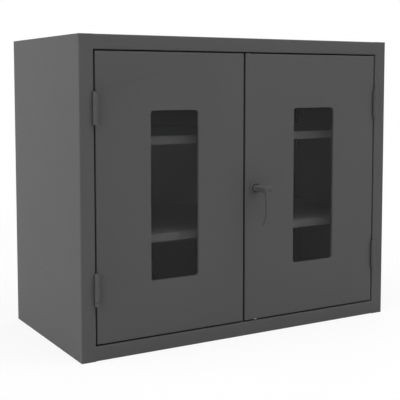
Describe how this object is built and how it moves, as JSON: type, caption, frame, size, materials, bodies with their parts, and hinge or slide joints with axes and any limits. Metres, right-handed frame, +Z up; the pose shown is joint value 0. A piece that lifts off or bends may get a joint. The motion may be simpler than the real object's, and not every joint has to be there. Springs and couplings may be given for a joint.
{
  "type": "tool cabinet",
  "caption": "Welded steel tool cabinet with flush double doors, tall narrow windows, inner shelves, barrel hinges and a locking lever handle that works latch rods.",
  "frame": {"origin": "the middle of the base, on the surface that the cabinet stands on", "axes": "+X to the right as seen from the front, +Y to the back, +Z up; the doors are at -Y"},
  "size_m": [0.9144, 0.5258, 0.762],
  "materials": {
    "powder_coat": "fine textured powder coat, semi-matt dark grey",
    "clear_pane": "clear, smooth",
    "zinc_plate": "bright zinc plate",
    "nylon": "moulded, matt black",
    "rubber": "moulded, matt black"
  },
  "bodies": {
    "cabinet": {"left_side_panel": "powder_coat", "right_side_panel": "powder_coat", "top_panel": "powder_coat", "bottom_panel": "powder_coat", "back_panel": "powder_coat", "front_left_shelf_standard": "powder_coat", "rear_left_shelf_standard": "powder_coat", "front_right_shelf_standard": "powder_coat", "rear_right_shelf_standard": "powder_coat", "upper_shelf": "powder_coat", "lower_shelf": "powder_coat", "upper_shelf_clips": "zinc_plate", "lower_shelf_clips": "zinc_plate", "top_door_stop": "powder_coat", "bottom_door_stop": "powder_coat", "door_bumpers": "rubber", "left_upper_hinge_frame_leaf": "powder_coat", "left_upper_hinge_pin": "powder_coat", "left_lower_hinge_frame_leaf": "powder_coat", "left_lower_hinge_pin": "powder_coat", "right_upper_hinge_frame_leaf": "powder_coat", "right_upper_hinge_pin": "powder_coat", "right_lower_hinge_frame_leaf": "powder_coat", "right_lower_hinge_pin": "powder_coat"},
    "left_door": {"left_door_panel": "powder_coat", "left_door_stiffener": "powder_coat", "left_window_pane": "clear_pane", "left_window_retainer": "powder_coat", "left_window_studs": "zinc_plate", "left_window_nuts": "zinc_plate", "left_upper_hinge_door_leaf": "powder_coat", "left_lower_hinge_door_leaf": "powder_coat"},
    "right_door": {"right_door_panel": "powder_coat", "right_door_stiffener": "powder_coat", "right_window_pane": "clear_pane", "right_window_retainer": "powder_coat", "right_window_studs": "zinc_plate", "right_window_nuts": "zinc_plate", "right_upper_hinge_door_leaf": "powder_coat", "right_lower_hinge_door_leaf": "powder_coat", "handle_escutcheon": "powder_coat", "handle_mounting_nut": "zinc_plate", "upper_rod_guide": "zinc_plate", "lower_rod_guide": "zinc_plate", "upper_rod_bushing": "nylon", "lower_rod_bushing": "nylon"},
    "handle": {"handle_lever": "powder_coat", "latch_cam": "zinc_plate", "latch_cam_nut": "zinc_plate"},
    "lock": {"lock_plug": "powder_coat"},
    "upper_rod": {"upper_latch_rod": "zinc_plate"},
    "lower_rod": {"lower_latch_rod": "zinc_plate"}
  },
  "joints": [
    {"name": "left_door_hinge", "type": "hinge", "parent": "cabinet", "child": "left_door", "pos_m": [-0.4191, -0.2331, 0.381], "axis": [0, 0, -1], "range_deg": [0, 175]},
    {"name": "right_door_hinge", "type": "hinge", "parent": "cabinet", "child": "right_door", "pos_m": [0.4191, -0.2331, 0.381], "axis": [0, 0, 1], "range_deg": [0, 175]},
    {"name": "handle_turn", "type": "hinge", "parent": "right_door", "child": "handle", "pos_m": [0.022, -0.2286, 0.382], "axis": [0, -1, 0], "range_deg": [0, 90]},
    {"name": "lock_turn", "type": "hinge", "parent": "handle", "child": "lock", "pos_m": [0.022, -0.2286, 0.382], "axis": [0, -1, 0], "range_deg": [0, 90]},
    {"name": "upper_rod_slide", "type": "slide", "parent": "right_door", "child": "upper_rod", "axis": [0, 0, -1], "range_m": [0, 0.01839]},
    {"name": "lower_rod_slide", "type": "slide", "parent": "right_door", "child": "lower_rod", "axis": [0, 0, 1], "range_m": [0, 0.01839]}
  ],
  "couplings": [
    {"joint": "upper_rod_slide", "follows": "handle_turn", "m_per_rad": 0.011704},
    {"joint": "lower_rod_slide", "follows": "handle_turn", "m_per_rad": 0.011704}
  ]
}
